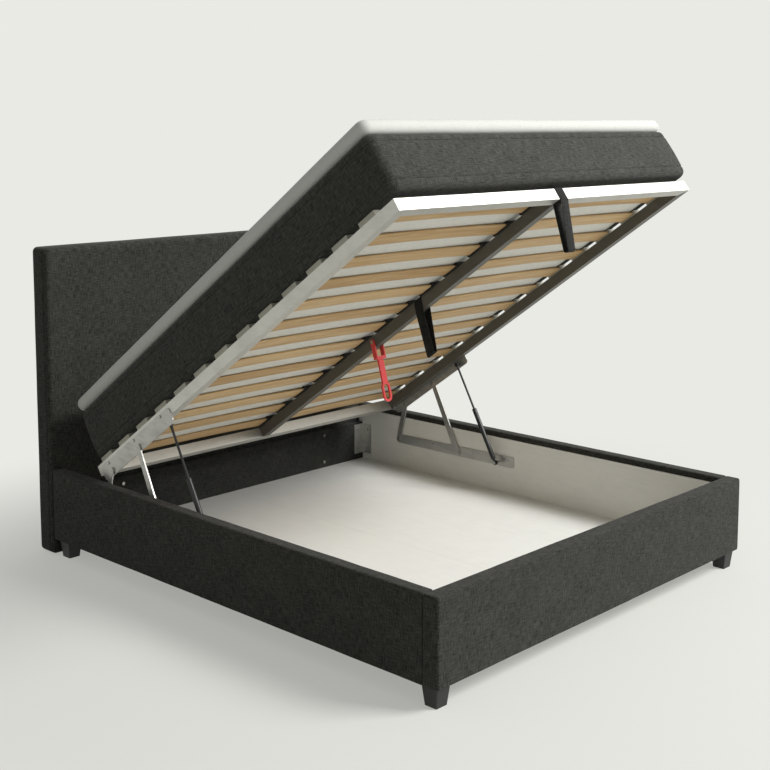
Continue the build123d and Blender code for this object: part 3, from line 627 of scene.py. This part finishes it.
@once("stitches on a path")
def path_group(name):
    """Stitches at even steps along a path, each turned with it."""
    group, given, out = geometry_group(name, [
        ("Stitch", "NodeSocketObject", None), ("Pitch", "NodeSocketFloat", 0.006),
        ("Finish", "NodeSocketMaterial", None)])
    curve = add(group, "GeometryNodeMeshToCurve", {"Mesh": given.outputs["Geometry"]})
    even = add(group, "GeometryNodeResampleCurve", {"Curve": curve.outputs[0], "Length": given.outputs["Pitch"]},
               mode="LENGTH")
    stitch = add(group, "GeometryNodeObjectInfo", {"Object": given.outputs["Stitch"]})
    tangent = add(group, "GeometryNodeInputTangent")
    turn = add(group, "FunctionNodeAlignRotationToVector", {"Vector": tangent.outputs[0]}, axis="X")
    placed = add(group, "GeometryNodeInstanceOnPoints", {
        "Points": even.outputs[0], "Instance": stitch.outputs["Geometry"], "Rotation": turn.outputs[0]})
    ending(group, given, out, placed.outputs[0])
    return group


@once("set on points")
def points_group(name):
    """A piece on each point, turned as the point's own aim says."""
    group, given, out = geometry_group(name, [
        ("Piece", "NodeSocketObject", None), ("Size", "NodeSocketFloat", 1.0), ("Finish", "NodeSocketMaterial", None)])
    piece = add(group, "GeometryNodeObjectInfo", {"Object": given.outputs["Piece"]})
    aim = add(group, "GeometryNodeInputNamedAttribute", {"Name": "aim"}, data_type="FLOAT_VECTOR")
    aim_out = [s for s in aim.outputs if s.enabled and s.name == "Attribute"][0]
    size = add(group, "ShaderNodeCombineXYZ", {k: given.outputs["Size"] for k in (0, 1, 2)})
    placed = add(group, "GeometryNodeInstanceOnPoints", {
        "Points": given.outputs["Geometry"], "Instance": piece.outputs["Geometry"], "Rotation": aim_out,
        "Scale": size.outputs[0]})
    ending(group, given, out, placed.outputs[0])
    return group


def grown(name, host, group, values):
    """The host's geometry nodes as one plain mesh in a new object."""
    changer = host.modifiers.new("repeat", "NODES")
    changer.node_group = group
    for item in group.interface.items_tree:
        if item.item_type == "SOCKET" and item.in_out == "INPUT" and item.name in values:
            changer[item.identifier] = values[item.name]
    host.update_tag()
    bpy.context.view_layer.update()
    shapes = bpy.context.evaluated_depsgraph_get()
    mesh = bpy.data.meshes.new_from_object(host.evaluated_get(shapes), preserve_all_data_layers=True, depsgraph=shapes)
    mesh.name = name
    if not mesh.polygons:
        raise RuntimeError(f"{name}: the geometry nodes made nothing")
    host.modifiers.remove(changer)
    bpy.data.objects.remove(host)
    return linked(name, mesh)


def tube_form(form, rows):
    """A closed tube through rings of points."""
    closed(form, [[form.verts.new(p) for p in row] for row in rows])


def stitch_object():
    """One stitch, lying along X."""
    if "stitch_source" in bpy.data.objects:
        return bpy.data.objects["stitch_source"]
    long, thick = sizes().stitch_length, STITCH_RADIUS
    form = bmesh.new()
    rows = []
    for x, r in ((-0.5, 0.3), (-0.3, 1.0), (0.3, 1.0), (0.5, 0.3)):
        rows.append([(x * long, r * thick * math.cos(k * math.pi / 3), r * thick * math.sin(k * math.pi / 3))
                     for k in range(6)])
    tube_form(form, rows)
    mesh = bpy.data.meshes.new("stitch_source")
    form.to_mesh(mesh)
    form.free()
    smooth(mesh, 80)
    return bpy.data.objects.new("stitch_source", mesh)


def stitched(name, chains, finish, body):
    """Rows of stitches along chains of points."""
    mesh = bpy.data.meshes.new(name + "_path")
    verts, edges = [], []
    for chain in chains:
        start = len(verts)
        verts += [tuple(p) for p in chain]
        edges += [(start + k, start + k + 1) for k in range(len(chain) - 1)]
    mesh.from_pydata(verts, edges, [])
    host = linked(name + "_host", mesh)
    made = grown(name, host, path_group(), {"Stitch": stitch_object(), "Pitch": sizes().stitch_pitch, "Finish": finish})
    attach(made, body)


# ---- finishes ----


def upholstery():
    return cloth("charcoal upholstery", colour_of("cloth_light"), colour_of("cloth_dark"))


def thread():
    return fine("dark sewing thread", shade(30, 30, 28), 0.8, grain=2500, depth=0.00003)


LIFT_PARTS = ("base_plate", "front_arm", "rear_arm", "deck_plate")


def both_sides(*parts):
    return [side + "_" + part for side in ("left", "right") for part in parts]


def finishes():
    """Each finish of the rigid pieces, with the nodes that wear it."""
    return [
        (fine("raw frame board", shade(118, 99, 76), 0.8, grain=900, wear=0.7, depth=0.0002),
         both_sides("rail_board") + ["foot_board", "headboard_board", "floor_battens"]),
        (fine("coated liner board", colour_of("liner"), 0.55, grain=700, wear=0.95),
         both_sides("liner") + ["foot_liner"]),
        (fine("coated floor board", colour_of("floor_board"), 0.5, grain=700, wear=0.96), ["storage_floor"]),
        (cloth("rear panel cloth", shade(54, 54, 51), shade(32, 32, 30), flat=True), ["rear_panel"]),
        (fine("black stained leg", shade(26, 25, 24), 0.45, grain=300, wear=1.4, depth=0.0001),
         ["corner_legs", "centre_legs"]),
        (fine("zinc bracket", shade(188, 188, 184), 0.38, 0.85, 350, 0.8), ["corner_brackets"]),
        (fine("plated lift steel", colour_of("lift_steel"), 0.36, 0.7, 420, 0.8), both_sides(*LIFT_PARTS)),
        (fine("brushed tube", colour_of("tube_paint"), 0.52, 0.85, 650, 0.93),
         ["left_deck_tube", "front_deck_tube", "rear_deck_tube"]),
        # Painted shade: the beam and the far tube get a darker, non-metal colour for the shade under the deck
        (fine("tube in painted shade", colour_of("beam_painted_shade"), 0.5, 0.0, 650, 0.9, coat=0.1),
         ["right_deck_tube", "centre_beam"]),
        (fine("bright fixing steel", shade(170, 170, 168), 0.3, 0.9, 800, 0.8),
         ["headboard_bolts", "base_plate_screws", "arm_base_pins", "strut_base_pins", "deck_plate_bolts",
          "deck_pivot_pins", "handle_pin"] + both_sides("front_arm_stub")),
        (fine("black enamel", colour_of("strut_black"), 0.42, 0.0, 900, 0.8), both_sides("strut_cylinder")),
        (fine("black nitrided steel", shade(8, 8, 9), 0.55, 0.0, 1200, 0.9), both_sides("strut_rod")),
        (fine("black joint plastic", shade(22, 22, 23), 0.5, 0.0, 1400, 0.8),
         both_sides("strut_gland", "strut_rod_end")),
        (fine("grey holder plastic", shade(158, 155, 140), 0.55, 0.0, 1300, 0.9), both_sides("slat_holders")),
        (fine("black holder plastic", shade(30, 29, 27), 0.5, 0.0, 1300, 0.8), ["centre_slat_holders"]),
        (fine("red handle plastic", colour_of("handle"), 0.35, 0.0, 1500, 0.85, coat=0.3), ["release_handle"]),
    ]


SOFT_NODES = both_sides("rail_cover") + ["foot_cover", "headboard_cover", "mattress", "topper", "front_pull_loop",
                                         "beam_pull_loop"]
GROWN_NODES = both_sides("slats") + ["bracket_screws"]


class BED_OT_finishes(bpy.types.Operator):
    """Gives each rigid node of the frame its finish"""

    bl_idname = "bed.finishes"
    bl_label = "Finish the rigid pieces"

    def execute(self, context):
        dressed = set(SOFT_NODES) | set(GROWN_NODES)
        for finish, names in finishes():
            for name in names:
                mesh = NODES[name].data
                mesh.materials.clear()
                mesh.materials.append(finish)
                dressed.add(name)
        bare = sorted(set(NODES) - dressed)
        if bare:
            raise RuntimeError(f"no finish for {bare}")
        return {"FINISHED"}


class BED_OT_headboard(bpy.types.Operator):
    """Builds the padded headboard, with a seam behind its front edge"""

    bl_idname = "bed.headboard"
    bl_label = "Headboard"

    def execute(self, context):
        low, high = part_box("headboard_cover")
        crown = sizes().headboard_crown
        middle = (low + high) / 2
        half = ((high.x - low.x) / 2, (high.z - low.z) / 2, (high.y - low.y) / 2 - crown)
        seam = half[2] - HEADBOARD_SEAM
        place = Matrix.Translation(middle) @ UPRIGHT
        mesh = pad("padded_headboard", half, HEADBOARD_CORNER, sizes().headboard_edge, place, (crown, 0.001),
                   grooves=((seam, 0.0035, 0.003),), ripple=0.0009, seed=4.0)
        made = linked("padded_headboard", mesh, [upholstery()])
        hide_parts("headboard_cover")
        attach(made, "root")
        row_y = middle.y - seam - 0.007
        sunk, bend = 0.0012, 0.03
        left, right, top, bottom = low.x + sunk, high.x - sunk, high.z - sunk, low.z + bend
        path = [(left, bottom), (left, top - bend), (left + 0.3 * bend, top - 0.3 * bend), (left + bend, top),
                (right - bend, top), (right - 0.3 * bend, top - 0.3 * bend), (right, top - bend), (right, bottom)]
        chain = [Vector((x, row_y, z)) for x, z in path]
        stitched("headboard_stitches", [chain], thread(), "root")
        return {"FINISHED"}


class BED_OT_rail_covers(bpy.types.Operator):
    """Softens the covers of both rails and of the foot board, and sews their corner seams"""

    bl_idname = "bed.rail_covers"
    bl_label = "Rail covers"

    def execute(self, context):
        for node in both_sides("rail_cover") + ["foot_cover"]:
            mesh = softened("soft_" + node, node, sizes().cover_grid, sizes().cloth_ripple, COVER_ROUNDS)
            made = linked("soft_" + node, mesh, [upholstery()])
            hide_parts(node)
            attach(made, "root")
        low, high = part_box("foot_cover")
        sunk, row_y = 0.0006, high.y - 0.009
        chains = [[Vector((side * (high.x - sunk), row_y, z)) for z in (low.z + 0.012, high.z - 0.014)]
                  for side in (-1, 1)]
        stitched("corner_seam_stitches", chains, thread(), "root")
        return {"FINISHED"}


class BED_OT_mattress(bpy.types.Operator):
    """Builds the mattress, with two seams round its dark border and pale cloth below"""

    bl_idname = "bed.mattress"
    bl_label = "Mattress"

    def execute(self, context):
        low, high = deck_extent("mattress")
        half = (high - low) / 2
        place = DECK @ Matrix.Translation((low + high) / 2)
        edge = sizes().mattress_edge
        seams = [(height, 0.003, 0.0025) for height in (-MATTRESS_SEAM, MATTRESS_SEAM)]
        mesh = pad("stuffed_mattress", (half.x, half.y, half.z - PAD_CLEARANCE), sizes().corner_round, edge, place,
                   bulge=sizes().mattress_bulge, grooves=seams, ripple=0.001, seed=9.0)
        base = colour_of("base_cloth")
        made = linked("stuffed_mattress", mesh, [
            cloth("mattress border cloth", colour_of("mattress_light"), colour_of("mattress_dark")),
            cloth("mattress base cloth", base, darker(base, 0.86), 0.003, 0.9, 0.1)])
        back = place.inverted()
        for face in mesh.polygons:
            where = back @ face.center
            inside = abs(where.x) < half.x - BORDER_FOLD and abs(where.y) < half.y - BORDER_FOLD
            if inside and where.z < edge - half.z:
                face.material_index = 1
        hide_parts("mattress")
        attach(made, "deck")
        return {"FINISHED"}


class BED_OT_topper(bpy.types.Operator):
    """Builds the pale topper, rounded along all its edges"""

    bl_idname = "bed.topper"
    bl_label = "Topper"

    def execute(self, context):
        low, high = deck_extent("topper")
        half = (high - low) / 2
        place = DECK @ Matrix.Translation((low + high) / 2)
        mesh = pad("stuffed_topper", (half.x, half.y, half.z - PAD_CLEARANCE), sizes().corner_round,
                   sizes().topper_edge, place, ripple=0.0014, seed=15.0)
        pale = colour_of("topper_cloth")
        knit = cloth("topper knit", pale, darker(pale, 0.9), 0.0035, 0.8, 0.2)
        made = linked("stuffed_topper", mesh, [knit])
        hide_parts("topper")
        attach(made, "deck")
        return {"FINISHED"}


class BED_OT_pull_loops(bpy.types.Operator):
    """Builds the two webbing loops, with softened edges"""

    bl_idname = "bed.pull_loops"
    bl_label = "Webbing loops"

    def execute(self, context):
        back = DECK.inverted()
        webbing = cloth("charcoal webbing", shade(40, 40, 38), shade(18, 18, 17), 0.0016, 1.0, 0.05, depth=0.0005)
        for node in ("front_pull_loop", "beam_pull_loop"):
            mesh = softened("sewn_" + node, node, 0, 0, 0, back)
            made = linked("sewn_" + node, mesh, [webbing])
            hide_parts(node)
            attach(made, "deck")
        return {"FINISHED"}


class BED_OT_slats(bpy.types.Operator):
    """Builds the two rows of bowed slats of glued veneer"""

    bl_idname = "bed.slats"
    bl_label = "Slats"

    def execute(self, context):
        wood, tree, shader = material("glued beech veneer")
        if tree is not None:
            place = add(tree, "ShaderNodeTexCoord")
            tone = add(tree, "ShaderNodeAttribute", attribute_name="tone")
            surface(tree, shader, veneer_group(), {"Vector": place.outputs["UV"], "Tone": tone.outputs["Fac"],
                    "Light": colour_of("slat_light"), "Dark": colour_of("slat_dark")}, 0.0001)
        chosen = sizes()
        for side in ("left", "right"):
            low, high = deck_extent(side + "_slats")
            source = self.one_slat(side, low.x, high.x)
            start = DECK @ Vector((0, high.y - chosen.slat_width / 2, low.z))
            pitch = (high.y - low.y - chosen.slat_width) / (chosen.slat_count - 1)
            host = linked(side + "_slat_host", bpy.data.meshes.new("slat_host"))
            made = grown(side + "_slat_row", host, slat_row_group(), {
                "Slat": source, "Count": chosen.slat_count, "Pitch": pitch, "Start": tuple(start), "Lean": LEAN,
                "Seed": 7 if side == "left" else 23, "Finish": wood})
            bpy.data.objects.remove(source)
            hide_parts(side + "_slats")
            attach(made, "deck")
        return {"FINISHED"}

    def one_slat(self, side, start, end):
        """A bowed slat from start to end, its middle line on the deck's zero."""
        chosen = sizes()
        wide, thick, edge = chosen.slat_width / 2, chosen.slat_thickness, chosen.slat_edge
        outline = []
        for y, z, first in ((wide - edge, thick - edge, 0), (-wide + edge, thick - edge, 90),
                            (-wide + edge, edge, 180), (wide - edge, edge, 270)):
            for turn in (0, 45, 90):
                angle = math.radians(first + turn)
                outline.append((y + edge * math.cos(angle), z + edge * math.sin(angle)))
        rows = []
        for step in range(SLAT_STEPS + 1):
            share = step / SLAT_STEPS
            rise = chosen.slat_bow * (1 - (2 * share - 1) ** 2)
            rows.append([(start + (end - start) * share, y, z + rise) for y, z in outline])
        form = bmesh.new()
        tube_form(form, rows)
        form.normal_update()
        layer = form.loops.layers.uv.verify()
        for face in form.faces:
            at_end = abs(face.normal.x) > TURNED
            on_edge = at_end or abs(face.normal.y) > TURNED
            for loop in face.loops:
                x, y, z = loop.vert.co
                loop[layer].uv = (y if at_end else x, EDGE_MAP_SHIFT + z if on_edge else y)
        mesh = bpy.data.meshes.new(side + "_slat_source")
        form.to_mesh(mesh)
        form.free()
        smooth(mesh, 50)
        return bpy.data.objects.new(side + "_slat_source", mesh)


class BED_OT_screws(bpy.types.Operator):
    """Sets domed screws with a cross recess in the corner brackets"""

    bl_idname = "bed.screws"
    bl_label = "Bracket screws"

    def execute(self, context):
        places, aims, long, wide = [], [], 0.0, 0.0
        for low, high in islands("bracket_screws"):
            size = high - low
            middle = (low + high) / 2
            if size.x > size.y:
                side = 1 if middle.x > 0 else -1
                places.append((low.x if side > 0 else high.x, middle.y, middle.z))
                aims.append((0.0, -side * math.pi / 2, 0.0))
                long, wide = size.x, size.z
            else:
                places.append((middle.x, low.y, middle.z))
                aims.append((math.pi / 2, 0.0, 0.0))
        source = self.one_screw(wide / 2, long)
        mesh = bpy.data.meshes.new("screw_points")
        mesh.from_pydata(places, [], [])
        aim = mesh.attributes.new("aim", "FLOAT_VECTOR", "POINT")
        aim.data.foreach_set("vector", [value for turn in aims for value in turn])
        steel = fine("bright screw steel", shade(176, 176, 174), 0.28, 0.9, 900, 0.8)
        made = grown("domed_bracket_screws", linked("screw_host", mesh), points_group(),
                     {"Piece": source, "Size": 1.0, "Finish": steel})
        bpy.data.objects.remove(source)
        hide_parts("bracket_screws")
        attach(made, "root")
        return {"FINISHED"}

    def one_screw(self, radius, long):
        """A screw that points down from its head's top at the origin."""
        head = sizes().screw_head
        shank = radius * SHANK
        turns = [2 * math.pi * k / SCREW_SIDES for k in range(SCREW_SIDES)]
        arms = [(RECESS_ARM if k % 6 == 0 else RECESS_WAIST) * radius for k in range(SCREW_SIDES)]
        rings = [([arm * share for arm in arms], z) for share, z in RECESS]
        rings += [([share * radius] * SCREW_SIDES, z * head) for share, z in DOME]
        rings += [([reach] * SCREW_SIDES, z) for reach, z in
                  ((shank, -head), (shank, -long * 0.9), (shank * 0.3, -long))]
        rows = [[(reach * math.cos(turn), reach * math.sin(turn), z) for reach, turn in zip(reaches, turns)]
                for reaches, z in rings]
        form = bmesh.new()
        tube_form(form, rows)
        mesh = bpy.data.meshes.new("screw_source")
        form.to_mesh(mesh)
        form.free()
        smooth(mesh, 35)
        return bpy.data.objects.new("screw_source", mesh)


# ---- studio ----


def lamp(name, place, target, power, size):
    data = bpy.data.lights.new(name, "AREA")
    data.energy = power
    data.shape = "SQUARE"
    data.size = size
    made = bpy.data.objects.new(name, data)
    bpy.context.scene.collection.objects.link(made)
    made.location = place
    made.rotation_euler = (Vector(target) - Vector(place)).to_track_quat("-Z", "Y").to_euler()


class BED_OT_studio(bpy.types.Operator):
    """Builds the pale floor, the background, the lamp and the camera"""

    bl_idname = "bed.studio"
    bl_label = "Studio"

    def execute(self, context):
        scene = context.scene
        scene.view_settings.view_transform = "Standard"
        self.floor()
        self.background(scene)
        lamp("key", KEY_PLACE, KEY_TARGET, KEY_POWER, KEY_SIZE)
        data = bpy.data.cameras.new("camera")
        data.sensor_width = 36
        data.lens = CAMERA_LENS
        data.shift_y = CAMERA_SHIFT
        data.clip_end = 200
        camera = bpy.data.objects.new("camera", data)
        scene.collection.objects.link(camera)
        camera.location = CAMERA_PLACE
        flat = math.cos(CAMERA_PITCH)
        ahead = Vector((math.sin(CAMERA_YAW) * flat, math.cos(CAMERA_YAW) * flat, math.sin(CAMERA_PITCH)))
        camera.rotation_euler = ahead.to_track_quat("-Z", "Y").to_euler()
        scene.camera = camera
        return {"FINISHED"}

    def shown(self, tree):
        """One for rays that show the backdrop itself, nothing for those that only carry its light."""
        path = add(tree, "ShaderNodeLightPath")
        shows = maths(tree, "MAXIMUM", path.outputs["Is Camera Ray"], path.outputs["Is Glossy Ray"])
        return maths(tree, "MAXIMUM", shows, path.outputs["Is Transmission Ray"])

    def floor(self):
        """Paper that takes the shadow near the bed, where a share of glow seen by camera and glossy rays lightens that
        shadow as painted light, and shows as the backdrop's colour further off.
        """
        mesh = bpy.data.meshes.new("studio_floor")
        corners = [(x * FLOOR_REACH, y * FLOOR_REACH, 0) for x, y in ((-1, -1), (1, -1), (1, 1), (-1, 1))]
        mesh.from_pydata(corners, [], [(0, 1, 2, 3)])
        made, tree, shader = material("studio paper")
        place = add(tree, "ShaderNodeTexCoord").outputs["Object"]
        grain = stretched_noise(tree, place, (30, 30, 30), 2.0)
        paper = colour_of("studio_floor")
        mixed = blended(tree, grain, paper, darker(paper, 0.985))
        tree.links.new(mixed, shader.inputs["Base Color"])
        shader.inputs["Roughness"].default_value = 0.9
        shader.inputs["Specular IOR Level"].default_value = 0.1
        glow = add(tree, "ShaderNodeEmission", {"Color": colour_of("backdrop"), "Strength": 1.0})
        moved = add(tree, "ShaderNodeVectorMath", {0: place, 1: GLOW_SHIFT}, operation="ADD").outputs[0]
        away = add(tree, "ShaderNodeVectorMath", {0: moved}, operation="LENGTH").outputs["Value"]
        # Near the bed the glow's share stays at its least, which is painted light on the bed's shadow
        share = add(tree, "ShaderNodeMapRange", {0: away, 1: GLOW_START, 2: GLOW_END, 3: SHADOW_LIFTING_GLOW, 4: 1.0},
                    interpolation_type="SMOOTHSTEP").outputs[0]
        share = maths(tree, "MULTIPLY", share, self.shown(tree))
        both = add(tree, "ShaderNodeMixShader", {0: share, 1: shader.outputs[0], 2: glow.outputs[0]})
        out = [n for n in tree.nodes if n.type == "OUTPUT_MATERIAL"][0]
        tree.links.new(both.outputs[0], out.inputs[0])
        linked("studio_floor", mesh, [made])

    def background(self, scene):
        """The backdrop's colour where it's seen, and a weaker even light from it."""
        world = bpy.data.worlds.new("studio air")
        scene.world = world
        world.use_nodes = True
        tree = world.node_tree
        tree.nodes.clear()
        seen = add(tree, "ShaderNodeBackground", {"Color": colour_of("backdrop"), "Strength": 1.0})
        light = add(tree, "ShaderNodeBackground", {"Color": (1, 1, 1, 1), "Strength": EVEN_LIGHT})
        both = add(tree, "ShaderNodeMixShader", {0: self.shown(tree), 1: light.outputs[0], 2: seen.outputs[0]})
        out = tree.nodes.new("ShaderNodeOutputWorld")
        tree.links.new(both.outputs[0], out.inputs[0])


PIECES = ("finishes", "headboard", "rail_covers", "mattress", "topper", "pull_loops", "slats", "screws", "studio")


class BED_PT_pieces(bpy.types.Panel):
    """Lists the bed's pieces and their settings"""

    bl_idname = "BED_PT_pieces"
    bl_label = "Bed"
    bl_space_type = "VIEW_3D"
    bl_region_type = "UI"
    bl_category = "Bed"

    def draw(self, context):
        for piece in PIECES:
            self.layout.operator("bed." + piece)
        for group in (context.scene.bed_sizes, context.scene.bed_colours):
            box = self.layout.box()
            for name in group.__annotations__:
                box.prop(group, name)


CLASSES = (BedSizes, BedColours, BED_OT_finishes, BED_OT_headboard, BED_OT_rail_covers, BED_OT_mattress, BED_OT_topper,
           BED_OT_pull_loops, BED_OT_slats, BED_OT_screws, BED_OT_studio, BED_PT_pieces)


def register():
    for made in CLASSES:
        bpy.utils.register_class(made)
    bpy.types.Scene.bed_sizes = bpy.props.PointerProperty(type=BedSizes)
    bpy.types.Scene.bed_colours = bpy.props.PointerProperty(type=BedColours)


def unregister():
    del bpy.types.Scene.bed_colours
    del bpy.types.Scene.bed_sizes
    for made in reversed(CLASSES):
        bpy.utils.unregister_class(made)


def main():
    register()
    for piece in PIECES:
        getattr(bpy.ops.bed, piece)()
    spare = bpy.data.objects.get("stitch_source")
    if spare:
        bpy.data.objects.remove(spare)


if __name__ == "__main__":
    main()
